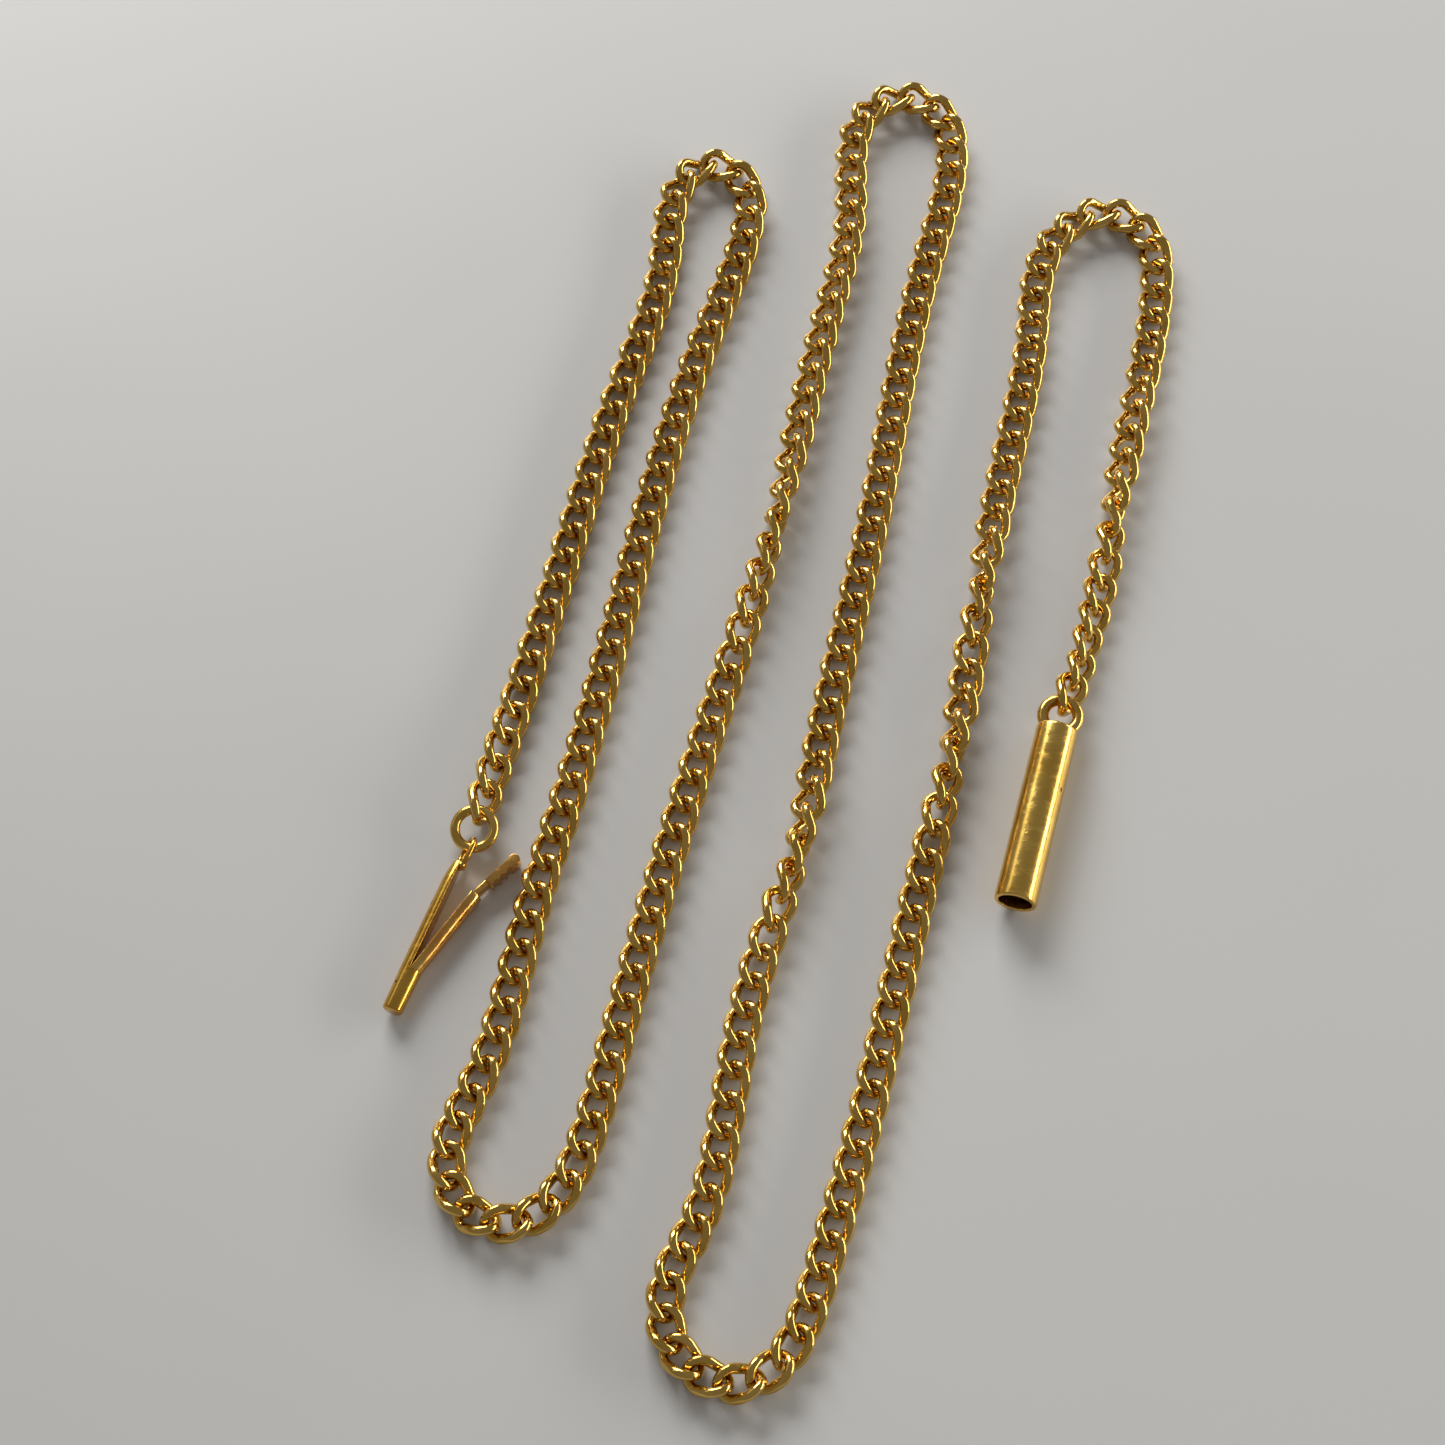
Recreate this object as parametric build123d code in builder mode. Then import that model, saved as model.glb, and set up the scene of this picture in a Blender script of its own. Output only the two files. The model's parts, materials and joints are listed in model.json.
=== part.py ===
"""Pocket watch chain: one long run of round-wire curb links laid out in six strands,
with a barrel snap at its ends.  A folded, sprung tongue hangs on a jump ring at one end
and pushes into the barrel at the other.  Millimetres, +Z up, resting on Z = 0."""

import copy
import math
import os

import numpy as np
from build123d import *

# ---- curb link -------------------------------------------------------------------
WIRE_D = 0.82  # round wire of every link
LINK_REACH = 1.77  # link centre to the wire's centre at the end of a bow
LINK_SPREAD = 1.08  # link centre line to the wire's centre on a side
BOW_R = 0.98  # bend radius of the wire at each shoulder of the link
PITCH = 2.65  # wanted distance from link to link along the chain
LINKS_PER_RUN = 5  # links that share one named run

# ---- chain ends ------------------------------------------------------------------
RING_WIRE_D = 0.88  # jump ring
RING_R = 1.71  # to the wire's centre
RING_LOW_Z = 1.05  # height of the ring's wire where the tongue's eye hangs on it
LOOP_WIRE_D = 1.05  # loop soldered to the barrel
LOOP_R = 1.55
LOOP_SUNK = 0.28  # how far the loop's wire centre sits inside the cap's face
FIRST_LINK_Z = 1.45  # height of the link that stands in the jump ring
CLEARANCE = 0.09  # between the wires that bear on each other

# ---- barrel ----------------------------------------------------------------------
BARREL_D = 3.7
BARREL_BORE_D = 3.1
BARREL_LENGTH = 16.8
MOUTH_BORE_D = 2.9  # the mouth ring is a little tighter, so the tongue catches behind it
MOUTH_LENGTH = 0.8
MOUTH_ROUNDING = 0.18
CAP_THICKNESS = 0.8
CAP_ROUNDING = 0.3
BARREL_HEADING = 74.8  # degrees from +X, from the mouth towards the cap

# ---- tongue ----------------------------------------------------------------------
TONGUE_D = 1.9  # both leaves pressed together are round
TIP_LENGTH = 3.9  # the solid fold before the leaves part
TIP_CHAMFER = (0.3, 0.2)
FIXED_LEAF_LENGTH = 10.4
SPRING_LEAF_LENGTH = 8.3
SPRING_OPENING = 13.5  # degrees between the leaves when the tongue is free
LEAF_GAP = 0.04
NECK_LENGTH = 1.5
NECK_THICKNESS = 0.5
NECK_HEIGHT = 1.2
NECK_ROOT = 0.3  # how far the neck starts inside the leaf
THUMB_LENGTH = 3.0
THUMB_THICKNESS = 0.85
THUMB_HEIGHT = 1.5
THUMB_TURN = 9.5  # degrees that the neck and thumb-piece lean further out
GRIP_NOTCHES = 3
GRIP_NOTCH_R = 0.42
GRIP_NOTCH_OUT = 0.2  # the notches' centres lie this far outside the piece
FIRST_NOTCH = 0.75  # in notch pitches from the neck
ROLLED_END_D = 1.01
EYE_WIRE_D = 0.5
EYE_LENGTH = 3.0  # outside
EYE_HEIGHT = 2.2  # outside
EYE_SUNK = 0.1  # how far the eye's wire centre sits inside the leaf
EYE_LEAN = 12  # degrees from upright, about its own length
TONGUE_HEADING = 248.0  # degrees from +X, from the eye towards the tip

# ---- how the chain lies ----------------------------------------------------------
# Route of the link centres from the jump ring to the barrel, in a plan that is centred
# on the whole layout afterwards.
ROUTE = [
    (-28.2, -12.3), (-22.7, 8), (-16.4, 31), (-12.8, 45),
    (-11.6, 52), (-8.5, 54.5), (-5.3, 52.4), (-5, 48),
    (-8.9, 35.5), (-15.4, 11.5), (-20.9, -11.5), (-24, -23), (-28.1, -38),
    (-30.2, -44), (-28.4, -48.2), (-24.8, -49.4), (-21.3, -47.5), (-19, -43),
    (-15.9, -31.5), (-9.7, -8.5), (-2.9, 14.5), (2.5, 38), (4.8, 49.5),
    (5, 56.5), (7, 61), (10.4, 62.4), (13.6, 60.8), (14.7, 56.5),
    (12.3, 45), (6.1, 15.5), (0.8, -8), (-1.4, -18), (-4.2, -26), (-7.2, -40),
    (-9.8, -49.7), (-12.2, -55), (-11.6, -59), (-8.8, -61.7), (-5.3, -62.1), (-2.2, -59.7), (0, -54.5),
    (3.1, -44.5), (9.1, -21), (12.8, -6.5), (15, 5), (18.8, 23), (21.6, 36.5),
    (22.4, 42.5), (25.2, 47.2), (29.2, 49), (32.9, 46.8), (33.6, 42),
    (31.6, 31), (28.8, 20), (26.1, 7.5), (22.9, -2.2),
]
# How far the chain has rolled about its own length, as (distance along it, degrees).
# The first and last links stand so that their bows pass upright through ring and loop.
ROLL = [
    (0, 45), (8, 5), (15, 0),
    (238, 0), (252, 90), (263, 155), (285, 150), (300, 180),
    (378, 180), (386, 250), (395, 350), (402, 360),
    (490, 360), (497, 450), (503, 530), (508, 550), (514, 640), (521, 715), (530, 720),
    (578, 720), (583, 760), (588, 735), (594, 810), (600, 880), (606, 890), (613, 855),
]

# ---- settling --------------------------------------------------------------------
SAMPLES = 44  # points along each link's wire
ROUNDS = 700
FREE_ROUNDS = 260  # the last rounds only part the wires
WIRE_GAP = 0.085  # wanted between the wires of neighbouring links
GYRATION = 1.35  # mm, a link's radius of gyration
PULL_BACK = 0.08  # share of its drift that a link makes good in one round
STRAIGHTEN = 0.1  # share of its lean from the chain's heading that it makes good
SINK = 0.1  # share of its height above the table that it drops
FLAT_START, UPRIGHT_START = 0.6, 0.4  # first height of a flat link, and more if on edge


def turned(frames, vectors):
    """Frames after each is turned by its own small rotation vector."""
    angle = np.linalg.norm(vectors, axis=1, keepdims=True)
    axis = vectors / np.maximum(angle, 1e-12)
    x, y, z = axis.T
    zero = np.zeros_like(x)
    cross = np.stack([zero, -z, y, z, zero, -x, -y, x, zero], axis=1).reshape(-1, 3, 3)
    angle = angle[:, :, None]
    turn = np.eye(3) + np.sin(angle) * cross + (1 - np.cos(angle)) * cross @ cross
    return turn @ frames


def part_wires(centres, frames, wire, step, held):
    """One round of moving link n and link n + step apart where their wires are too close."""
    points = centres[:, None] + wire @ frames.transpose(0, 2, 1)
    apart = points[:-step, :, None] - points[step:, None]
    distance = np.linalg.norm(apart, axis=3)
    worst = distance.reshape(len(distance), -1).argmin(axis=1)
    near, far = np.divmod(worst, len(wire))
    rows = np.arange(len(worst))
    nearest = distance[rows, near, far]
    push = apart[rows, near, far] / nearest[:, None]
    depth = np.clip(WIRE_D + WIRE_GAP - nearest, 0, None)
    arms = points[rows, near] - centres[:-step], points[rows + step, far] - centres[step:]
    shares = [1 + (np.cross(arm, push) ** 2).sum(axis=1) / GYRATION**2 for arm in arms]
    size = (depth / (shares[0] + shares[1]))[:, None]
    shift, turn = np.zeros_like(centres), np.zeros_like(centres)
    shift[:-step] += size * push
    shift[step:] -= size * push
    turn[:-step] += size * np.cross(arms[0], push) / GYRATION**2
    turn[step:] -= size * np.cross(arms[1], push) / GYRATION**2
    shift[held], turn[held] = 0, 0
    return centres + shift, turned(frames, turn)


def settle(centres, frames, wire):
    """Lets the links slide and tilt until no two wires touch and none is under the table."""
    aim, held = centres.copy(), [0, len(centres) - 1]
    for round_number in range(ROUNDS):
        if round_number < ROUNDS - FREE_ROUNDS:
            centres = centres + PULL_BACK * (aim - centres)
            lean = np.cross(frames[:, :, 0], aim_headings(centres))
            lean[held] = 0
            frames = turned(frames, STRAIGHTEN * lean)
        for step in (1, 2):
            centres, frames = part_wires(centres, frames, wire, step, held)
        lowest = (wire @ frames.transpose(0, 2, 1))[:, :, 2].min(axis=1)
        sunk = WIRE_D / 2 - lowest - centres[:, 2]
        lift = np.where(sunk > 0, sunk, SINK * sunk)
        lift[held] = 0
        centres[:, 2] += lift
    return centres, frames


def aim_headings(centres):
    """The way the chain runs at each link."""
    along = np.gradient(centres, axis=0)
    return along / np.linalg.norm(along, axis=1, keepdims=True)


def headed(angle):
    """Unit vector in the plan at an angle in degrees from +X."""
    return Vector(math.cos(math.radians(angle)), math.sin(math.radians(angle)), 0)


# ---- one link --------------------------------------------------------------------
with BuildPart() as link:
    with BuildLine() as side:
        FilletPolyline(
            (LINK_REACH, 0, 0),
            (LINK_REACH, LINK_SPREAD, -LINK_SPREAD),
            (-LINK_REACH, LINK_SPREAD, LINK_SPREAD),
            (-LINK_REACH, 0, 0),
            radius=BOW_R,
        )
    side_wire = side.wires()[0]
    with BuildSketch(Plane(side_wire @ 0, z_dir=side_wire % 0)):
        Circle(WIRE_D / 2)
    sweep(path=side_wire)
    add(link.part.rotate(Axis.X, 180))

half = np.array([tuple(side_wire @ ((n + 0.5) / (SAMPLES // 2))) for n in range(SAMPLES // 2)])
LINK_WIRE = np.vstack([half, half * (1, -1, -1)])

# ---- where each link lies --------------------------------------------------------
with BuildLine() as plan:
    Spline(*ROUTE)
route = plan.edges()[0]
link_count = round(route.length / PITCH) + 1
barrel_z = BARREL_D / 2
distances = np.linspace(0, route.length, link_count)
starts = np.array([tuple(route.position_at(d / route.length)) for d in distances])
headings = np.array([tuple(route.tangent_at(d / route.length)) for d in distances])
rolls = np.radians(np.interp(distances, *zip(*ROLL)))
left = np.cross((0, 0, 1), headings)
lefts = left * np.cos(rolls)[:, None] + np.array((0, 0, 1)) * np.sin(rolls)[:, None]
starts[:, 2] = WIRE_D / 2 + FLAT_START + UPRIGHT_START * np.abs(np.sin(rolls))
starts[0, 2] = FIRST_LINK_Z
starts[-1, 2] = barrel_z
link_frames = np.stack([headings, lefts, np.cross(headings, lefts)], axis=2)
link_centres, link_frames = settle(starts, link_frames, LINK_WIRE)


def bow_end(number, side_sign):
    """Centre of the wire at one end of a link, and the way the wire runs there."""
    centre, frame = link_centres[number], link_frames[number]
    return centre + side_sign * LINK_REACH * frame[:, 0], frame @ (0, 1, -side_sign) / math.sqrt(2)


link_places = [
    Location(Plane(tuple(centre), x_dir=tuple(frame[:, 0]), z_dir=tuple(frame[:, 2])))
    for centre, frame in zip(link_centres, link_frames)
]
run_starts = list(range(0, link_count, LINKS_PER_RUN))
pieces = []
for number, first in enumerate(run_starts, start=1):
    with BuildPart() as run:
        with Locations(*link_places[first : first + LINKS_PER_RUN]):
            add(link.part)
    run.part.label = f"curb_links_{number:02d}"
    pieces.append(run.part)

# ---- jump ring -------------------------------------------------------------------
first_bow, _ = bow_end(0, -1)
back = Vector(*(-link_frames[0][:, 0]))
RING_BOW_OFFSET = RING_R - (RING_WIRE_D + WIRE_D) / 2 - CLEARANCE
ring_slope = math.asin((first_bow[2] - RING_LOW_Z) / (RING_R + RING_BOW_OFFSET))
ring_down = back * math.cos(ring_slope) - Vector(0, 0, math.sin(ring_slope))
ring_centre = Vector(*first_bow) + ring_down * RING_BOW_OFFSET
ring_side = Vector(0, 0, 1).cross(back)
ring_plane = Plane(ring_centre, x_dir=ring_down, z_dir=ring_down.cross(ring_side))
with BuildPart() as jump_ring:
    with BuildSketch(Plane(ring_centre + ring_down * RING_R, x_dir=ring_down, z_dir=ring_side)):
        Circle(RING_WIRE_D / 2)
    revolve(axis=Axis(ring_centre, ring_plane.z_dir))
jump_ring.part.label = "jump_ring"

# ---- barrel ----------------------------------------------------------------------
to_mouth = headed(BARREL_HEADING + 180)
last_bow, _ = bow_end(link_count - 1, 1)
LOOP_BOW_OFFSET = LOOP_R - (LOOP_WIRE_D + WIRE_D) / 2 - CLEARANCE
loop_centre = Vector(*last_bow) + to_mouth * LOOP_BOW_OFFSET
cap_face = loop_centre + to_mouth * (LOOP_R - LOOP_SUNK)
mouth = cap_face + to_mouth * BARREL_LENGTH


def across_barrel(from_mouth):
    """Plane across the barrel, facing the cap, at a distance from the mouth."""
    return Plane(mouth - to_mouth * from_mouth, x_dir=(0, 0, 1), z_dir=-to_mouth)


with BuildPart() as barrel_mouth_ring:
    with BuildSketch(across_barrel(0)):
        Circle(BARREL_D / 2)
        Circle(MOUTH_BORE_D / 2, mode=Mode.SUBTRACT)
    extrude(amount=MOUTH_LENGTH)
    mouth_edges = barrel_mouth_ring.edges().sort_by(Axis(mouth, -to_mouth))[:2]
    fillet(mouth_edges.sort_by(SortBy.RADIUS)[-1], MOUTH_ROUNDING)
barrel_mouth_ring.part.label = "barrel_mouth_ring"

with BuildPart() as barrel_tube:
    with BuildSketch(across_barrel(MOUTH_LENGTH)):
        Circle(BARREL_D / 2)
        Circle(BARREL_BORE_D / 2, mode=Mode.SUBTRACT)
    extrude(amount=BARREL_LENGTH - MOUTH_LENGTH - CAP_THICKNESS)
barrel_tube.part.label = "barrel_tube"

with BuildPart() as barrel_end_cap:
    with BuildSketch(across_barrel(BARREL_LENGTH - CAP_THICKNESS)):
        Circle(BARREL_D / 2)
    extrude(amount=CAP_THICKNESS)
    fillet(barrel_end_cap.edges().sort_by(Axis(mouth, -to_mouth))[-1], CAP_ROUNDING)
barrel_end_cap.part.label = "barrel_end_cap"

loop_section = Plane(
    loop_centre - to_mouth * LOOP_R, x_dir=to_mouth, z_dir=to_mouth.cross(Vector(0, 0, 1))
)
with BuildPart() as barrel_loop:
    with BuildSketch(loop_section):
        Circle(LOOP_WIRE_D / 2)
    revolve(axis=Axis(loop_centre, (0, 0, 1)))
    split(bisect_by=across_barrel(BARREL_LENGTH), keep=Keep.TOP)
barrel_loop.part.label = "barrel_loop"

# ---- tongue ----------------------------------------------------------------------
to_tip = headed(TONGUE_HEADING)
across_tongue = Vector(0, 0, 1).cross(-to_tip)  # from the spring leaf towards the fixed leaf
ring_bottom = ring_centre + ring_down * RING_R
hang = (RING_WIRE_D + EYE_WIRE_D) / 2 + CLEARANCE
eye_top = Vector(ring_bottom.X, ring_bottom.Y, 0) - to_tip * hang
tongue_r = TONGUE_D / 2
leaf_top = eye_top + to_tip * (EYE_LENGTH - EYE_WIRE_D - EYE_SUNK)
fork = leaf_top + to_tip * FIXED_LEAF_LENGTH + Vector(0, 0, tongue_r)
tip_end = fork + to_tip * TIP_LENGTH


def across_leaf(centre, heading):
    """Plane across a leaf: its x runs sideways in the plan, its y is up."""
    return Plane(centre, x_dir=Vector(0, 0, 1).cross(heading), z_dir=heading)


with BuildPart() as tongue_tip:
    with BuildSketch(across_leaf(tip_end, -to_tip)):
        Circle(tongue_r)
    extrude(amount=TIP_LENGTH)
    chamfer(tongue_tip.edges().sort_by(Axis(tip_end, -to_tip))[0], *TIP_CHAMFER)
tongue_tip.part.label = "tongue_tip"

with BuildPart() as tongue_fixed_leaf:
    with BuildSketch(across_leaf(fork, -to_tip)):
        Circle(tongue_r)
        with Locations((-tongue_r + LEAF_GAP / 2, 0)):
            Rectangle(TONGUE_D, 2 * TONGUE_D, mode=Mode.SUBTRACT)
    extrude(amount=FIXED_LEAF_LENGTH)
tongue_fixed_leaf.part.label = "tongue_fixed_leaf"

eye_centre = eye_top + to_tip * ((EYE_LENGTH - EYE_WIRE_D) / 2) + Vector(0, 0, EYE_HEIGHT / 2)
eye_lean = math.radians(EYE_LEAN)
eye_normal = across_tongue * math.cos(eye_lean) + Vector(0, 0, math.sin(eye_lean))
eye_plane = Plane(eye_centre, x_dir=to_tip, z_dir=eye_normal)
with BuildPart() as tongue_eye:
    with BuildSketch(eye_plane, mode=Mode.PRIVATE) as eye_outline:
        SlotOverall(EYE_LENGTH - EYE_WIRE_D, EYE_HEIGHT - EYE_WIRE_D)
    eye_wire = eye_outline.sketch.faces()[0].outer_wire()
    with BuildSketch(Plane(eye_wire @ 0, z_dir=eye_wire % 0)):
        Circle(EYE_WIRE_D / 2)
    sweep(path=eye_wire)
    split(bisect_by=across_leaf(leaf_top, -to_tip), keep=Keep.TOP)
tongue_eye.part.label = "tongue_eye"

spring_pivot = fork - across_tongue * tongue_r
spring_heading = headed(TONGUE_HEADING + 180 - SPRING_OPENING)
spring_left = Vector(0, 0, 1).cross(spring_heading)
thumb_heading = headed(TONGUE_HEADING + 180 - SPRING_OPENING - THUMB_TURN)
shoulder = spring_pivot + spring_left * (tongue_r - LEAF_GAP) + spring_heading * SPRING_LEAF_LENGTH


def beside_shoulder(height):
    """Level plane whose x runs along the thumb-piece from the leaf's shoulder."""
    start = Vector(shoulder.X, shoulder.Y, tongue_r - height / 2)
    return Plane(start, x_dir=thumb_heading, z_dir=(0, 0, 1))


with BuildPart() as tongue_spring_leaf:
    with BuildSketch(across_leaf(spring_pivot + spring_left * tongue_r, spring_heading)):
        Circle(tongue_r)
        with Locations((tongue_r - LEAF_GAP / 2, 0)):
            Rectangle(TONGUE_D, 2 * TONGUE_D, mode=Mode.SUBTRACT)
    extrude(amount=SPRING_LEAF_LENGTH)
    with BuildSketch(beside_shoulder(NECK_HEIGHT)):
        with Locations((-NECK_ROOT, 0)):
            Rectangle(NECK_ROOT + NECK_LENGTH, NECK_THICKNESS, align=(Align.MIN, Align.MAX))
    extrude(amount=NECK_HEIGHT)
tongue_spring_leaf.part.label = "tongue_spring_leaf"

with BuildPart() as thumb_piece:
    with BuildSketch(beside_shoulder(THUMB_HEIGHT)):
        with Locations((NECK_LENGTH, 0)):
            Rectangle(THUMB_LENGTH, THUMB_THICKNESS, align=(Align.MIN, Align.MAX))
        with Locations((NECK_LENGTH + THUMB_LENGTH, -THUMB_THICKNESS / 2)):
            Circle(ROLLED_END_D / 2)
        notch_pitch = THUMB_LENGTH / (GRIP_NOTCHES + 1)
        notch_y = -THUMB_THICKNESS - GRIP_NOTCH_OUT
        notches = [
            (NECK_LENGTH + notch_pitch * (n + FIRST_NOTCH), notch_y) for n in range(GRIP_NOTCHES)
        ]
        with Locations(*notches):
            Circle(GRIP_NOTCH_R, mode=Mode.SUBTRACT)
    extrude(amount=THUMB_HEIGHT)
thumb_piece.part.label = "thumb_piece"

# ---- centre the layout on the origin and write each piece ------------------------
fittings = [
    jump_ring, barrel_tube, barrel_end_cap, barrel_mouth_ring, barrel_loop,
    tongue_eye, tongue_fixed_leaf, tongue_tip, tongue_spring_leaf, thumb_piece,
]
pieces += [fitting.part for fitting in fittings]
box = Compound(children=[copy.copy(piece) for piece in pieces]).bounding_box()
to_origin = Vector(-box.center().X, -box.center().Y, -box.min.Z)

if __name__ == "__main__":
    os.makedirs("parts", exist_ok=True)
    for piece in pieces:
        export_step(piece.moved(Location(to_origin)), f"parts/{piece.label}.step")
    print(f"{link_count} links, {route.length / (link_count - 1):.3f} mm apart, {len(pieces)} pieces")
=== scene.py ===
"""Looks of the pocket watch chain: smooth curb links, barrel, rings and folded tongue in
polished yellow gold, laid out on a pale table.  Metres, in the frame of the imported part."""

import json
import math

import bmesh
import bpy
import numpy as np
from mathutils import Matrix, Vector, noise


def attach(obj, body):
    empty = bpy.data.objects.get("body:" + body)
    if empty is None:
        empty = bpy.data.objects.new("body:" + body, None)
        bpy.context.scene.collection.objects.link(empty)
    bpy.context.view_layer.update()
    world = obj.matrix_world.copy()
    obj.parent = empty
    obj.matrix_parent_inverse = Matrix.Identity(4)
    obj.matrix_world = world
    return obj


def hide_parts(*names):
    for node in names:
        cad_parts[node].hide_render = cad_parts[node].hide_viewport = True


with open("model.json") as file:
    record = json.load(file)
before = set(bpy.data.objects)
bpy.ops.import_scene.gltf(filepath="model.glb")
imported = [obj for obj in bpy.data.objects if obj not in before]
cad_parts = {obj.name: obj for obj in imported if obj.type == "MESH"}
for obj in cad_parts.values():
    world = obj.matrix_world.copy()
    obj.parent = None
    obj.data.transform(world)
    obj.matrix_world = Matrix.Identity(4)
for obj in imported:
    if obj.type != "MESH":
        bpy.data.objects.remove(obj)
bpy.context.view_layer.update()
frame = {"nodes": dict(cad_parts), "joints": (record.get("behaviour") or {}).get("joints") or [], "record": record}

MM = 0.001
X, Y, Z = Vector((1, 0, 0)), Vector((0, 1, 0)), Vector((0, 0, 1))

# ---- sizes, in millimetres ----------------------------------------------------------
WIRE_D = 0.86  # curb link
LINK_REACH = 1.77  # link centre to the wire's centre at the end of a bow
LINK_SPREAD = 1.08  # link centre line to the wire's centre on a side
BOW_R = 0.98  # bend radius of the wire at each shoulder
END_WIDTH, SIDE_BULGE = 0.95, 0.12  # share of the spread at the ends, and more mid-side
RING_WIRE_D, RING_R = 0.88, 1.71
LOOP_WIRE_D, LOOP_R, LOOP_SUNK = 1.05, 1.55, 0.28
BARREL_D, BORE_D, BARREL_LENGTH = 3.7, 3.1, 16.8
MOUTH_D, MOUTH_LENGTH, CAP_THICKNESS = 2.9, 0.8, 0.8
MOUTH_OUTER_ROUNDING, MOUTH_INNER_ROUNDING, CAP_ROUNDING = 0.17, 0.1, 0.3
TONGUE_D, TIP_LENGTH, TIP_END_R, TIP_ROUNDING = 1.9, 3.9, 0.87, 0.22
FIXED_LEAF_LENGTH, SPRING_LEAF_LENGTH, SPRING_OPENING = 10.4, 8.3, 13.5
LEAF_GAP, LEAF_ROUNDING = 0.04, 0.07  # between the two leaves, and along their edges
SPRING_ROOT = 0.7  # how far the spring leaf reaches into the tip
NECK_LENGTH, NECK_THICKNESS, NECK_HEIGHT = 1.5, 0.5, 1.2
NECK_ROOT, NECK_OVERLAP, NECK_ROUNDING = 0.3, 0.1, 0.09
THUMB_LENGTH, THUMB_THICKNESS, THUMB_HEIGHT, THUMB_TURN = 3.0, 0.85, 1.5, 9.5
THUMB_STEP, THUMB_ROUNDING = 0.15, 0.035  # run-up from neck to full thickness
EYE_WIRE_D, EYE_LENGTH, EYE_HEIGHT = 0.5, 3.0, 2.2
EYE_LEAN = 28  # degrees from upright, about its own length
EYE_SUNK = 0.12  # solder's centre inside the eye's end, and as far below its middle
GRIP_NOTCHES, GRIP_NOTCH_R, ROLLED_END_D = 3, 0.36, 1.01
GRIP_NOTCH_OUT = 0.16  # the notches' centres lie this far outside the piece
FIRST_NOTCH = 0.75  # in notch pitches from the neck
CLEARANCE = 0.09  # between the wires that bear on each other
LOOP_SOLDER = (0.42, 0.62, 0.60)  # half sizes of each blob
LOOP_SOLDER_APART = 1.02  # each blob from the loop's middle line
EYE_SOLDER = (0.42, 0.78, 0.52)
TABLE_DROP = 0.02  # table top under the part

# A smoothed cage draws in by these shares, so it is made that much larger.
SIX_SIDED = 0.8316
TWELVE_SIDED = 0.9565
SHARP = math.radians(35)  # a crease that stays crisp on an unsmoothed piece

# ---- making and finishing pieces -----------------------------------------------------
def frame_at(origin, along, up):
    """Matrix whose Z runs along a piece and whose X points up from it."""
    z = along.normalized()
    x = (up - z * up.dot(z)).normalized()
    y = z.cross(x)
    turn = Matrix((x, y, z)).transposed().to_4x4()
    return Matrix.Translation(origin) @ turn


def close(bm, reach=1e-6):
    """Joins doubled points and turns every face outwards."""
    bmesh.ops.remove_doubles(bm, verts=bm.verts, dist=reach)
    bmesh.ops.recalc_face_normals(bm, faces=bm.faces)


def finish_piece(bm, name, nodes, body, material, levels=0):
    """Makes the piece's object, smooths it if asked, parents it to its body and hides the CAD nodes that it stands
    for.
    """
    mesh = bpy.data.meshes.new(name)
    for face in bm.faces:
        face.smooth = True
    for edge in bm.edges:
        edge.smooth = levels > 0 or edge.calc_face_angle(0) < SHARP
    bm.to_mesh(mesh)
    bm.free()
    mesh.materials.append(material)
    piece = bpy.data.objects.new(name, mesh)
    bpy.context.scene.collection.objects.link(piece)
    if levels:
        smooth = piece.modifiers.new("smooth", "SUBSURF")
        smooth.levels = smooth.render_levels = levels
    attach(piece, body)
    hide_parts(*nodes)
    return piece


def dent(bm, depth, size, seed):
    """Moves points a little along their normals, as hand work leaves them."""
    bm.normal_update()
    offset = Vector((seed, 0.37 * seed, 0.71 * seed))
    for vert in bm.verts:
        vert.co += vert.normal * depth * noise.noise(vert.co / size + offset)


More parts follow.
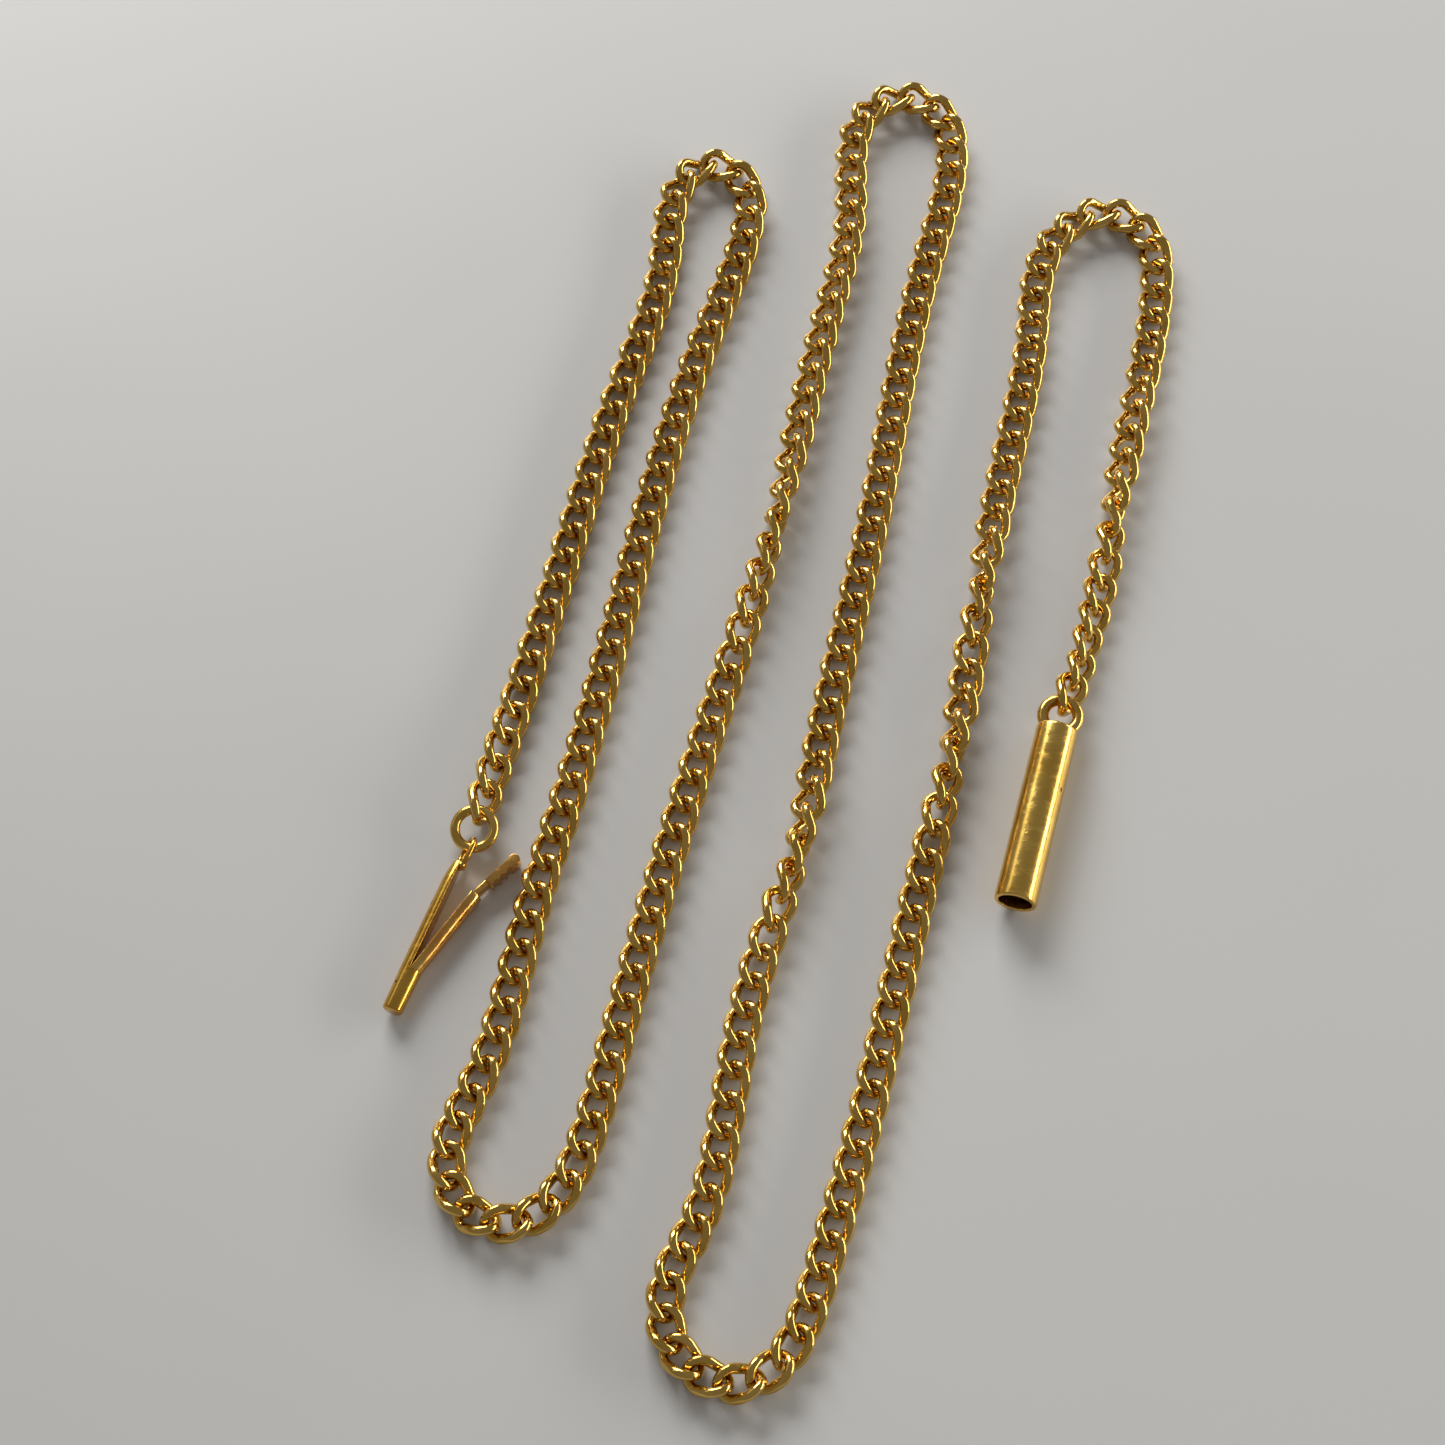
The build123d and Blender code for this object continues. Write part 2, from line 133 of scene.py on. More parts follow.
# ---- materials -----------------------------------------------------------------------
class Nodes:
    """Short way to wire a material's nodes."""

    def __init__(self, name):
        self.material = bpy.data.materials.new(name)
        self.material.use_nodes = True
        self.tree = self.material.node_tree
        self.surface = self.tree.nodes["Principled BSDF"]
        self.place = self.add("ShaderNodeTexCoord").outputs["Object"]

    def add(self, kind, links=None, **settings):
        node = self.tree.nodes.new(kind)
        for key, value in settings.items():
            setattr(node, key, value)
        for socket, value in (links or {}).items():
            if isinstance(value, bpy.types.NodeSocket):
                self.tree.links.new(value, node.inputs[socket])
            else:
                node.inputs[socket].default_value = value
        return node

    def noise(self, scale, detail=2.0, stretch=(1, 1, 1), turn=0.0, rough=0.5):
        place = self.add(
            "ShaderNodeMapping",
            {"Vector": self.place, "Scale": stretch, "Rotation": (0, 0, turn)},
        ).outputs["Vector"]
        node = self.add(
            "ShaderNodeTexNoise",
            {"Vector": place, "Scale": scale, "Detail": detail, "Roughness": rough},
        )
        return node.outputs["Fac"]

    def ramp(self, value, low, high, out_low=0.0, out_high=1.0):
        return self.add(
            "ShaderNodeMapRange",
            {
                "Value": value, "From Min": low, "From Max": high,
                "To Min": out_low, "To Max": out_high,
            },
        ).outputs["Result"]

    def mix(self, share, first, second):
        node = self.add("ShaderNodeMix", data_type="RGBA")
        for number, value in ((0, share), (6, first), (7, second)):
            if isinstance(value, bpy.types.NodeSocket):
                self.tree.links.new(value, node.inputs[number])
            elif number:
                node.inputs[number].default_value = (*value, 1)
            else:
                node.inputs[number].default_value = value
        return node.outputs[2]

    def maths(self, operation, first, second):
        return self.add("ShaderNodeMath", {0: first, 1: second}, operation=operation).outputs[0]

    def bump(self, height, distance, strength=1.0, normal=None):
        links = {"Height": height, "Distance": distance, "Strength": strength}
        if normal:
            links["Normal"] = normal
        return self.add("ShaderNodeBump", links).outputs["Normal"]

    def set(self, **sockets):
        for name, value in sockets.items():
            socket = self.surface.inputs[name.replace("_", " ")]
            if isinstance(value, bpy.types.NodeSocket):
                self.tree.links.new(value, socket)
            else:
                socket.default_value = value


YELLOW = (0.79, 0.52, 0.145)
DEEP_YELLOW = (0.63, 0.39, 0.075)
RED_GOLD = (0.74, 0.36, 0.085)
# near-black brown that the pits are darkened towards
PIT_DARK = (0.10, 0.04, 0.012)


def gold(name, tint, deep, roughness, grain_turn=0.0, grain=(1, 1, 1), pits=0.0, waves=0.3):
    """Polished gold with tone patches, fine scratches along the grain and small pits."""
    n = Nodes(name)
    patches = n.noise(420, 3)
    tone = n.mix(n.ramp(patches, 0.35, 0.68), tint, deep)
    scratches = n.noise(2600, 4, grain, grain_turn, 0.7)
    wear = n.noise(1300, 3)
    brushed = n.ramp(scratches, 0.3, 0.75, roughness * 0.6, roughness * 1.5)
    rough = n.maths("ADD", brushed, n.ramp(wear, 0.5, 0.8, 0.0, roughness * 0.5))
    normal = n.bump(n.noise(700, 2, grain, grain_turn), 0.000015, waves)
    normal = n.bump(scratches, 0.000004, 0.6, normal)
    if pits:
        cells = n.add("ShaderNodeTexVoronoi", {"Vector": n.place, "Scale": 900.0}, feature="F1")
        spot = n.ramp(cells.outputs["Distance"], 0.10, 0.22, 1.0, 0.0)
        spared = n.ramp(n.noise(500, 1), 0.62 - 0.1 * pits, 0.72 - 0.1 * pits)
        pit = n.maths("MULTIPLY", spot, spared)
        # each pit's colour is darkened towards a near-black brown
        tone = n.mix(n.maths("MULTIPLY", pit, 0.85), tone, PIT_DARK)
        normal = n.bump(n.ramp(pit, 0, 1, 1, 0), 0.00004, 0.8, normal)
        rough = n.maths("ADD", rough, n.maths("MULTIPLY", pit, 0.3))
    n.set(Base_Color=tone, Metallic=1.0, Roughness=rough, Normal=normal)
    return n.material


chain_gold = gold("chain_gold", YELLOW, DEEP_YELLOW, 0.13)
ring_gold = gold("ring_gold", YELLOW, DEEP_YELLOW, 0.17, waves=0.4)

# ---- curb links ----------------------------------------------------------------------
def arc_cage(radius, turn, steps):
    """Radius of a cage whose smoothed line has the wanted radius."""
    return radius / ((4 + 2 * math.cos(turn / steps)) / 6)


def link_cage():
    """One curb link about the origin, long along X, as a coarse cage of six-sided wire."""
    reach, spread = LINK_REACH * MM, LINK_SPREAD * MM
    bow = Vector((0, 1, -1)).normalized()
    side = Vector((-reach, 0, spread)).normalized()
    far_bow = Vector((0, -1, -1)).normalized()
    turn = bow.angle(side)
    bow_straight = spread * math.sqrt(2) - BOW_R * MM * math.tan(turn / 2)
    side_straight = 2 * math.hypot(reach, spread) - 2 * BOW_R * MM * math.tan(turn / 2)
    steps = 4  # along each bend, and along each side
    first_axis = bow.cross(side).normalized()
    second_axis = side.cross(far_bow).normalized()
    # the cage runs a little outside the wire's line at each bend, and smoothing draws it in
    outside = arc_cage(BOW_R * MM, turn, steps) - BOW_R * MM
    bm = bmesh.new()
    start = X * reach + bow * bow_straight - first_axis.cross(bow) * outside
    place = frame_at(start, bow, X)
    made = bmesh.ops.create_circle(
        bm, segments=6, radius=WIRE_D / 2 * MM / SIX_SIDED, matrix=place
    )
    ring = made["verts"]

    def rim():
        return list(ring) + [e for e in bm.edges if e.verts[0] in ring and e.verts[1] in ring]

    def bend(direction, axis):
        nonlocal ring
        centre = sum((v.co for v in ring), Vector()) / len(ring)
        pivot = centre + axis.cross(direction) * (BOW_R * MM + outside)
        spun = bmesh.ops.spin(
            bm, geom=rim(), cent=pivot, axis=axis, angle=turn, steps=steps, use_merge=False
        )
        ring = [g for g in spun["geom_last"] if isinstance(g, bmesh.types.BMVert)]

    bend(bow, first_axis)
    sideways = (first_axis.cross(side) - second_axis.cross(side)) * outside
    for _ in range(steps):
        rim_edges = [g for g in rim() if isinstance(g, bmesh.types.BMEdge)]
        made = bmesh.ops.extrude_edge_only(bm, edges=rim_edges)
        ring = [g for g in made["geom"] if isinstance(g, bmesh.types.BMVert)]
        bmesh.ops.translate(bm, verts=ring, vec=(side * side_straight + sideways) / steps)
    # the wire turns a little along its side, so that the sections meet at the far bow
    carried = Matrix.Rotation(turn, 3, second_axis) @ Matrix.Rotation(turn, 3, first_axis) @ X
    miss = math.degrees(math.atan2(far_bow.dot(carried.cross(X)), carried.dot(X)))
    miss = (miss + 30) % 60 - 30
    centre = sum((v.co for v in ring), Vector()) / len(ring)
    catch_up = Matrix.Rotation(math.radians(miss), 3, side)
    bmesh.ops.rotate(bm, verts=ring, cent=centre, matrix=catch_up)
    bend(side, second_axis)
    half = list(bm.verts) + list(bm.edges) + list(bm.faces)
    copied = bmesh.ops.duplicate(bm, geom=half)
    other = [g for g in copied["geom"] if isinstance(g, bmesh.types.BMVert)]
    bmesh.ops.rotate(bm, verts=other, cent=Vector(), matrix=Matrix.Rotation(math.pi, 3, X))
    open_edges = [e for e in bm.edges if e.is_boundary]
    for sign in (1, -1):
        end = [e for e in open_edges if sign * e.verts[0].co.x > 0]
        bmesh.ops.bridge_loops(bm, edges=end)
    # the sides bow outwards between the two ends
    for vert in bm.verts:
        vert.co.y *= END_WIDTH + SIDE_BULGE * max(0, 1 - (vert.co.x / reach) ** 2)
    close(bm)
    mesh = bpy.data.meshes.new("link_cage")
    bm.to_mesh(mesh)
    bm.free()
    return mesh


def islands(mesh):
    """Groups of triangle corners, one array of (triangle, corner, xyz) for each loose solid."""
    mesh.calc_loop_triangles()
    points = np.array([v.co for v in mesh.vertices])
    triangles = np.array([t.vertices for t in mesh.loop_triangles])
    _, same = np.unique(np.round(points / 1e-7).astype(np.int64), axis=0, return_inverse=True)
    corners = same.reshape(-1)[triangles]
    label = np.arange(corners.max() + 1)
    while True:
        low = label[corners].min(axis=1)
        new = label.copy()
        for corner in corners.T:
            np.minimum.at(new, corner, low)
        new = new[new]
        if (new == label).all():
            break
        label = new
    owner = label[corners[:, 0]]
    return [points[triangles[owner == each]] for each in np.unique(owner)]


def link_place(solid):
    """Matrix that lays a link along one loose solid, from the solid's centre and inertia."""
    middle = solid.reshape(-1, 3).mean(axis=0)
    solid = solid - middle
    a, b, c = solid.transpose(1, 0, 2)
    volume = np.einsum("ij,ij->i", a, np.cross(b, c))
    total = a + b + c
    centre = (volume[:, None] * total).sum(axis=0) / (4 * volume.sum())
    spread = sum(np.einsum("i,ij,ik->jk", volume, each, each) for each in (a, b, c, total)) / 20
    spread = spread / volume.sum() - np.outer(centre, centre)
    _, axes = np.linalg.eigh(spread)
    length, width = Vector(axes[:, 2]), Vector(axes[:, 1])
    turn = Matrix((length, width, length.cross(width))).transposed().to_4x4()
    return Matrix.Translation(Vector(centre + middle)) @ turn


cage = link_cage()
run_bodies = {
    node: body
    for body, nodes in frame["record"]["behaviour"]["bodies"].items()
    for node in nodes
    if node.startswith("curb_links")
}
for node in sorted(run_bodies):
    bm = bmesh.new()
    for solid in islands(frame["nodes"][node].data):
        before = set(bm.verts)
        bm.from_mesh(cage)
        fresh = [v for v in bm.verts if v not in before]
        bmesh.ops.transform(bm, matrix=link_place(solid), verts=fresh)
    name = node.replace("curb_links", "gold_curb_links")
    finish_piece(bm, name, [node], run_bodies[node], chain_gold, 2)

# ---- turned and bent wire --------------------------------------------------------------
def edge_loop(bm, points):
    """A closed outline through a few points."""
    verts = [bm.verts.new(p) for p in points]
    edges = [bm.edges.new(pair) for pair in zip(verts, verts[1:] + verts[:1])]
    return verts + edges


def spin_full(bm, outline, steps):
    """Turns an outline once about Z into a closed solid."""
    bmesh.ops.spin(
        bm, geom=outline, cent=Vector(), axis=Z, angle=math.tau, steps=steps, use_merge=True
    )
    close(bm)


def turned(bm, profile, steps=72):
    """Closed solid turned about Z from a profile of (radius, height) in millimetres."""
    outline = edge_loop(bm, [Vector((r * MM, 0, z * MM)) for r, z in profile])
    spin_full(bm, outline, steps)


def edges_at(bm, radius, height, reach=0.02):
    """Edges round a turned piece at one radius and height, in millimetres."""
    def there(vert):
        return (
            abs(math.hypot(vert.co.x, vert.co.y) / MM - radius) < reach
            and abs(vert.co.z / MM - height) < reach
        )
    return [e for e in bm.edges if there(e.verts[0]) and there(e.verts[1])]


def edges_among(bm, verts):
    """Edges whose two ends are both in a list of points."""
    return [e for e in bm.edges if e.verts[0] in verts and e.verts[1] in verts]


def soften(bm, edges, width, segments=4):
    bmesh.ops.bevel(
        bm, geom=edges, offset=width * MM, offset_type="OFFSET", segments=segments,
        profile=0.5, affect="EDGES", material=-1, clamp_overlap=True,
    )


def wire_ring(bm, radius, wire, steps=28):
    """Ring of twelve-sided wire about Z, as a cage for one level of smoothing."""
    cage_r = arc_cage(radius * MM, math.tau, steps)
    section = bmesh.ops.create_circle(
        bm, segments=12, radius=wire / 2 * MM / TWELVE_SIDED,
        matrix=Matrix.Translation(X * cage_r) @ Matrix.Rotation(math.pi / 2, 4, "X"),
    )["verts"]
    spin_full(bm, section + edges_among(bm, section), steps)


def solder(bm, place, half_sizes):
    """Rounded blob of solder, to be blended with the wire that it holds."""
    size = Matrix.Diagonal((*(s * MM for s in half_sizes), 1))
    bmesh.ops.create_icosphere(bm, subdivisions=3, radius=1.0, matrix=place @ size)


def blend_solder(piece, voxel, rounds):
    """Runs the blobs and the wire together into one smooth skin."""
    blend = piece.modifiers.new("solder", "REMESH")
    blend.mode, blend.voxel_size, blend.use_smooth_shade = "VOXEL", voxel * MM, True
    ease = piece.modifiers.new("ease", "SMOOTH")
    ease.factor, ease.iterations = 0.5, rounds


mounts = {m["name"]: m for m in frame["record"]["mounts"]}
joints = {j["name"]: j for j in frame["joints"]}


def mount_at(name):
    return Vector(mounts[name]["pos_m"]), Vector(mounts[name]["axis"])


# ---- jump ring -------------------------------------------------------------------------
ring_centre, ring_axis = mount_at("jump_ring_eye")
bm = bmesh.new()
wire_ring(bm, RING_R, RING_WIRE_D)
bmesh.ops.transform(bm, matrix=frame_at(ring_centre, ring_axis, X), verts=bm.verts)
dent(bm, 0.02 * MM, 0.9 * MM, 3)
finish_piece(bm, "gold_jump_ring", ["jump_ring"], "jump_ring", ring_gold, 2)

# ---- barrel ----------------------------------------------------------------------------
mouth_middle, to_mouth = mount_at("barrel_mouth")
loop_centre, _ = mount_at("barrel_loop_eye")
cap_face = loop_centre + to_mouth * (LOOP_R - LOOP_SUNK) * MM
mouth = cap_face + to_mouth * BARREL_LENGTH * MM
barrel_place = frame_at(mouth, -to_mouth, Z)
barrel_turn = math.atan2(to_mouth.y, to_mouth.x)
barrel_gold = gold(
    "barrel_gold", (0.84, 0.56, 0.14), (0.78, 0.47, 0.09), 0.20,
    grain_turn=-barrel_turn, grain=(0.08, 1, 1), pits=1.0, waves=0.25,
)
half = BARREL_D / 2
tube_end = BARREL_LENGTH - CAP_THICKNESS

bm = bmesh.new()
bore_r = BORE_D / 2
turned(bm, [(half, MOUTH_LENGTH), (half, tube_end), (bore_r, tube_end), (bore_r, MOUTH_LENGTH)])
bmesh.ops.transform(bm, matrix=barrel_place, verts=bm.verts)
finish_piece(bm, "gold_barrel_tube", ["barrel_tube"], "barrel", barrel_gold)

bm = bmesh.new()
turned(bm, [(half, 0), (half, MOUTH_LENGTH), (MOUTH_D / 2, MOUTH_LENGTH), (MOUTH_D / 2, 0)])
soften(bm, edges_at(bm, half, 0), MOUTH_OUTER_ROUNDING, 5)
soften(bm, edges_at(bm, MOUTH_D / 2, 0), MOUTH_INNER_ROUNDING, 4)
bmesh.ops.transform(bm, matrix=barrel_place, verts=bm.verts)
finish_piece(
    bm, "gold_barrel_mouth_ring", ["barrel_mouth_ring"], "barrel", barrel_gold
)

bm = bmesh.new()
turned(bm, [(0, tube_end), (half, tube_end), (half, BARREL_LENGTH), (0, BARREL_LENGTH)])
soften(bm, edges_at(bm, half, BARREL_LENGTH), CAP_ROUNDING, 6)
bmesh.ops.transform(bm, matrix=barrel_place, verts=bm.verts)
finish_piece(bm, "gold_barrel_end_cap", ["barrel_end_cap"], "barrel", barrel_gold)

# the loop and the solder that joins it to the cap are one blended shape
bm = bmesh.new()
wire_ring(bm, LOOP_R, LOOP_WIRE_D)
for side in (1, -1):
    where = Vector((LOOP_R - LOOP_SUNK, side * LOOP_SOLDER_APART, 0)) * MM
    solder(bm, Matrix.Translation(where), LOOP_SOLDER)
bmesh.ops.transform(bm, matrix=frame_at(loop_centre, Z, to_mouth), verts=bm.verts)
loop = finish_piece(bm, "gold_barrel_loop", ["barrel_loop"], "barrel", ring_gold, 1)
blend_solder(loop, 0.06, 5)

# ---- tongue ----------------------------------------------------------------------------
_, to_tip = mount_at("tongue_tip")
pivot = Vector(joints["tongue_squeeze"]["pos_m"])
across = Z.cross(-to_tip)
tongue_r = TONGUE_D / 2 * MM
fork = pivot + across * tongue_r
leaf_turn = math.atan2(to_tip.y, to_tip.x)
tongue_gold = gold(
    "tongue_gold", (0.74, 0.43, 0.075), (0.60, 0.32, 0.045), 0.20,
    grain_turn=-leaf_turn, grain=(0.06, 1, 1), pits=0.5, waves=0.35,
)
spring_gold = gold(
    "spring_gold", RED_GOLD, YELLOW, 0.19,
    grain_turn=-leaf_turn, grain=(0.5, 1, 1), pits=0.6, waves=0.8,
)

bm = bmesh.new()
turned(bm, [(0, 0), (TIP_END_R, 0), (TONGUE_D / 2, TIP_LENGTH), (0, TIP_LENGTH)], 40)
soften(bm, edges_at(bm, TIP_END_R, 0), TIP_ROUNDING, 5)
dent(bm, 0.015 * MM, 1.2 * MM, 5)
tip_place = frame_at(fork + to_tip * TIP_LENGTH * MM, -to_tip, Z)
bmesh.ops.transform(bm, matrix=tip_place, verts=bm.verts)
finish_piece(bm, "gold_tongue_tip", ["tongue_tip"], "tongue", tongue_gold)


def half_round(bm, start, length, shrink_start, shrink_end, rings=14):
    """Half-round bar along Z: its round side is towards +Y and its flat side at Y = 0."""
    made = bmesh.ops.create_circle(
        bm, segments=28, radius=tongue_r, cap_ends=True, matrix=Matrix.Translation(Z * start)
    )
    cut = made["verts"] + bm.edges[:] + bm.faces[:]
    flat = Y * (LEAF_GAP / 2) * MM
    bmesh.ops.bisect_plane(bm, geom=cut, plane_co=flat, plane_no=Y, clear_inner=True)
    made = bmesh.ops.extrude_face_region(bm, geom=bm.faces[:])
    top = [g for g in made["geom"] if isinstance(g, bmesh.types.BMVert)]
    bmesh.ops.translate(bm, verts=top, vec=Z * length)
    bmesh.ops.recalc_face_normals(bm, faces=bm.faces)
    sharp = [e for e in bm.edges if e.calc_face_angle(0) > math.radians(40)]
    soften(bm, sharp, LEAF_ROUNDING, 3)
    long_edges = [e for e in bm.edges if abs((e.verts[0].co - e.verts[1].co).z) > length / 2]
    bmesh.ops.subdivide_edges(bm, edges=long_edges, cuts=rings, use_grid_fill=True)
    # each end draws in over its last sixth
    for vert in bm.verts:
        share = (vert.co.z - start) / length
        size = 1 - shrink_start * max(0, 1 - share * 6) - shrink_end * max(0, share * 6 - 5)
        vert.co.x *= size
        vert.co.y *= size


# fixed leaf: its round side is away from the spring leaf
bm = bmesh.new()
half_round(bm, 0, FIXED_LEAF_LENGTH * MM, 0.0, 0.22)
dent(bm, 0.012 * MM, 1.5 * MM, 8)
leaf_place = frame_at(fork, -to_tip, Z)
if (leaf_place.to_3x3() @ Y).dot(across) < 0:
    leaf_place = leaf_place @ Matrix.Rotation(math.pi, 4, "Z")
bmesh.ops.transform(bm, matrix=leaf_place, verts=bm.verts)
finish_piece(bm, "gold_fixed_leaf", ["tongue_fixed_leaf"], "tongue", tongue_gold)

# eye: an upright oval of wire, soldered to the leaf's end
ring_uphill = ring_axis.cross(Z.cross(ring_axis)).normalized()
ring_low = ring_centre - ring_uphill * RING_R * MM
hang = ((RING_WIRE_D + EYE_WIRE_D) / 2 + CLEARANCE) * MM
rest_z = pivot.z - tongue_r
eye_top = Vector((ring_low.x, ring_low.y, rest_z)) - to_tip * hang
eye_centre = eye_top + to_tip * (EYE_LENGTH - EYE_WIRE_D) / 2 * MM + Z * EYE_HEIGHT / 2 * MM
lean = math.radians(EYE_LEAN)
eye_normal = across * math.cos(lean) + Z * math.sin(lean)
eye_bend = (EYE_HEIGHT - EYE_WIRE_D) / 2
eye_straight = EYE_LENGTH - EYE_HEIGHT

bm = bmesh.new()
wire_start = Matrix.Translation(Vector((-eye_straight / 2, eye_bend, 0)) * MM)
section = bmesh.ops.create_circle(
    bm, segments=12, radius=EYE_WIRE_D / 2 * MM / TWELVE_SIDED,
    matrix=wire_start @ Matrix.Rotation(math.pi / 2, 4, "Y"),
)["verts"]
for end in (1, -1):
    made = bmesh.ops.extrude_edge_only(bm, edges=edges_among(bm, section))["geom"]
    section = [g for g in made if isinstance(g, bmesh.types.BMVert)]
    bmesh.ops.translate(bm, verts=section, vec=X * end * eye_straight * MM)
    made = bmesh.ops.spin(
        bm, geom=section + edges_among(bm, section), cent=X * end * eye_straight / 2 * MM,
        axis=-Z, angle=math.pi, steps=9,
    )["geom_last"]
    section = [g for g in made if isinstance(g, bmesh.types.BMVert)]
close(bm, 2e-6)
foot = Vector((EYE_LENGTH / 2 - EYE_SUNK, -EYE_SUNK, 0)) * MM
solder(bm, Matrix.Translation(foot), EYE_SOLDER)
x, z = to_tip, eye_normal
eye_turn = Matrix((x, z.cross(x), z)).transposed().to_4x4()
bmesh.ops.transform(bm, matrix=Matrix.Translation(eye_centre) @ eye_turn, verts=bm.verts)
eye = finish_piece(bm, "gold_tongue_eye", ["tongue_eye"], "tongue", tongue_gold, 1)
blend_solder(eye, 0.04, 4)

# spring leaf: its root reaches into the tip, and its neck carries the thumb-piece
spring_along = Matrix.Rotation(-math.radians(SPRING_OPENING), 3, Z) @ -to_tip
spring_left = Z.cross(spring_along)
spring_axis = pivot + spring_left * tongue_r
spring_place = frame_at(spring_axis, spring_along, Z)
if (spring_place.to_3x3() @ Y).dot(spring_left) > 0:
    spring_place = spring_place @ Matrix.Rotation(math.pi, 4, "Z")
bm = bmesh.new()
root = SPRING_ROOT * MM
half_round(bm, -root, SPRING_LEAF_LENGTH * MM + root, 0.06, 0.0)
dent(bm, 0.03 * MM, 0.5 * MM, 13)
bmesh.ops.transform(bm, matrix=spring_place, verts=bm.verts)


class Pen:
    """Draws a closed outline of lines and arcs, in millimetres, and fills it."""

    def __init__(self, bm, x, y):
        self.bm, self.points = bm, [Vector((x, y, 0))]

    def line(self, x, y):
        self.points.append(Vector((x, y, 0)))

    def arc(self, x, y, degrees, steps):
        """Turns about a centre from where the pen is."""
        centre, start = Vector((x, y, 0)), self.points[-1]
        for n in range(1, steps + 1):
            turn = Matrix.Rotation(math.radians(degrees) * n / steps, 3, Z)
            self.points.append(centre + turn @ (start - centre))

    def extruded(self, height):
        verts = [self.bm.verts.new(p * MM) for p in self.points]
        face = self.bm.faces.new(verts)
        made = bmesh.ops.extrude_face_region(self.bm, geom=[face])["geom"]
        top = [g for g in made if isinstance(g, bmesh.types.BMVert)]
        bmesh.ops.translate(self.bm, verts=top, vec=Z * height * MM)
        bmesh.ops.recalc_face_normals(self.bm, faces=self.bm.faces)


thumb_along = Matrix.Rotation(-math.radians(THUMB_TURN), 3, Z) @ spring_along
shoulder = pivot + spring_left * (tongue_r - LEAF_GAP * MM) + spring_along * SPRING_LEAF_LENGTH * MM
thumb_side = Z.cross(thumb_along)


def beside_shoulder(height):
    """Level frame: X along the thumb-piece from the leaf's shoulder, Z up."""
    turn = Matrix((thumb_along, thumb_side, Z)).transposed().to_4x4()
    low = Vector((shoulder.x, shoulder.y, pivot.z - height / 2 * MM))
    return Matrix.Translation(low) @ turn


neck = bmesh.new()
neck_end = NECK_LENGTH + NECK_OVERLAP
pen = Pen(neck, -NECK_ROOT, 0)
pen.line(-NECK_ROOT, -NECK_THICKNESS)
pen.line(neck_end, -NECK_THICKNESS)
pen.line(neck_end, 0)
pen.extruded(NECK_HEIGHT)
soften(neck, neck.edges[:], NECK_ROUNDING, 3)
bmesh.ops.transform(neck, matrix=beside_shoulder(NECK_HEIGHT), verts=neck.verts)
neck_mesh = bpy.data.meshes.new("neck")
neck.to_mesh(neck_mesh)
neck.free()
bm.from_mesh(neck_mesh)
finish_piece(
    bm, "gold_spring_leaf", ["tongue_spring_leaf"], "tongue_spring", spring_gold
)

bm = bmesh.new()
pen = Pen(bm, NECK_LENGTH, -NECK_THICKNESS)
pen.line(NECK_LENGTH + THUMB_STEP, -THUMB_THICKNESS)
notch_pitch = THUMB_LENGTH / (GRIP_NOTCHES + 1)
half_mouth = math.sqrt(GRIP_NOTCH_R**2 - GRIP_NOTCH_OUT**2)
notch_turn = 2 * math.degrees(math.atan2(half_mouth, GRIP_NOTCH_OUT))
for n in range(GRIP_NOTCHES):
    x = NECK_LENGTH + notch_pitch * (n + FIRST_NOTCH)
    pen.line(x - half_mouth, -THUMB_THICKNESS)
    pen.arc(x, -THUMB_THICKNESS - GRIP_NOTCH_OUT, -notch_turn, 8)
roll_r, roll_x = ROLLED_END_D / 2, NECK_LENGTH + THUMB_LENGTH
roll_reach = math.sqrt(roll_r**2 - (THUMB_THICKNESS / 2) ** 2)
roll_turn = 360 - 2 * math.degrees(math.atan2(THUMB_THICKNESS / 2, roll_reach))
pen.line(roll_x - roll_reach, -THUMB_THICKNESS)
pen.arc(roll_x, -THUMB_THICKNESS / 2, roll_turn, 18)
pen.line(NECK_LENGTH, 0)
pen.extruded(THUMB_HEIGHT)
rims = [e for e in bm.edges if abs(e.verts[0].co.z - e.verts[1].co.z) < 1e-7]
soften(bm, rims, THUMB_ROUNDING, 2)
bmesh.ops.transform(bm, matrix=beside_shoulder(THUMB_HEIGHT), verts=bm.verts)
finish_piece(bm, "gold_thumb_piece", ["thumb_piece"], "tongue_spring", spring_gold)

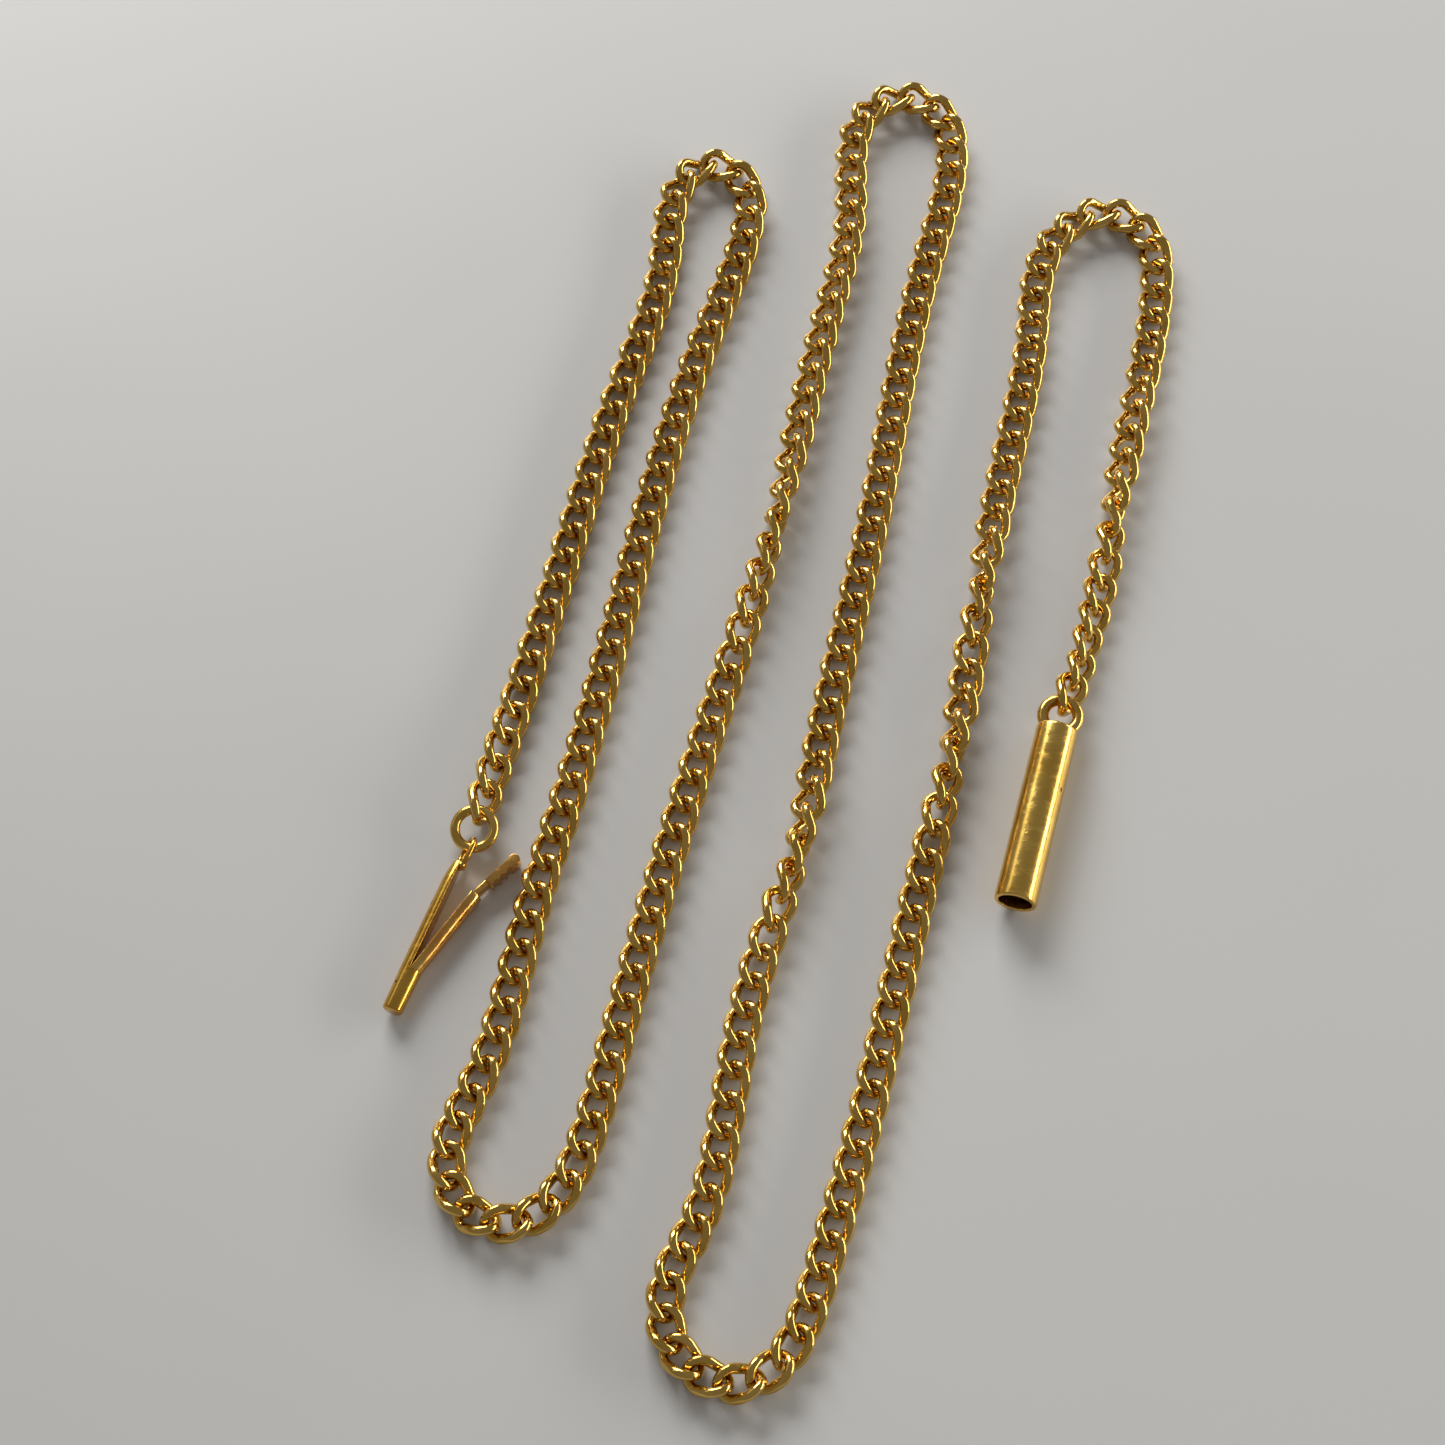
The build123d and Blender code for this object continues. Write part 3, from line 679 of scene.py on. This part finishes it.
# ---- table, light and camera -------------------------------------------------------------
def table():
    bm = bmesh.new()
    bmesh.ops.create_grid(bm, x_segments=2, y_segments=2, size=1.2)
    bmesh.ops.translate(bm, verts=bm.verts, vec=Z * -TABLE_DROP * MM)
    mesh = bpy.data.meshes.new("table")
    bm.to_mesh(mesh)
    bm.free()
    n = Nodes("pale_table")
    clouds = n.noise(9, 3)
    n.set(
        Base_Color=n.mix(n.ramp(clouds, 0.3, 0.7), (0.66, 0.66, 0.66), (0.70, 0.70, 0.695)),
        Roughness=n.ramp(clouds, 0.3, 0.7, 0.34, 0.42),
    )
    mesh.materials.append(n.material)
    top = bpy.data.objects.new("table", mesh)
    bpy.context.scene.collection.objects.link(top)


def lamp(name, place, aim, size, watts, colour):
    """Rectangular lamp: size is its width and height as seen from the aim."""
    light = bpy.data.lights.new(name, "AREA")
    light.shape, light.size, light.size_y = "RECTANGLE", size[0], size[1]
    light.energy, light.color = watts, colour
    made = bpy.data.objects.new(name, light)
    made.location = place
    made.rotation_euler = (Vector(place) - Vector(aim)).to_track_quat("Z", "Y").to_euler()
    bpy.context.scene.collection.objects.link(made)


table()
lamp("sky", (-0.25, 0.80, 0.42), (0, 0.02, 0), (0.60, 0.40), 8.0, (1.0, 1.0, 0.99))
lamp("window", (-0.36, 0.35, 0.34), (0, 0, 0), (0.60, 0.12), 0.17, (1.0, 0.99, 0.97))
lamp("bright_wall", (0.56, 0.09, 0.146), (0, 0, 0), (0.75, 0.11), 2.2, (1.0, 0.97, 0.90))

world = bpy.data.worlds.new("room")
world.use_nodes = True
room = world.node_tree.nodes["Background"].inputs
room["Color"].default_value = (0.42, 0.40, 0.38, 1)
room["Strength"].default_value = 0.5
bpy.context.scene.world = world
bpy.context.scene.view_settings.view_transform = "Standard"

camera = bpy.data.cameras.new("camera")
camera.sensor_width, camera.lens = 36.0, 69.76
camera.clip_start = 0.01
view = bpy.data.objects.new("camera", camera)
view.location = Vector((-7.08, -106.42, 224.5)) * MM
view.rotation_euler = (math.radians(24.5), 0, 0)
bpy.context.scene.collection.objects.link(view)
bpy.context.scene.camera = view
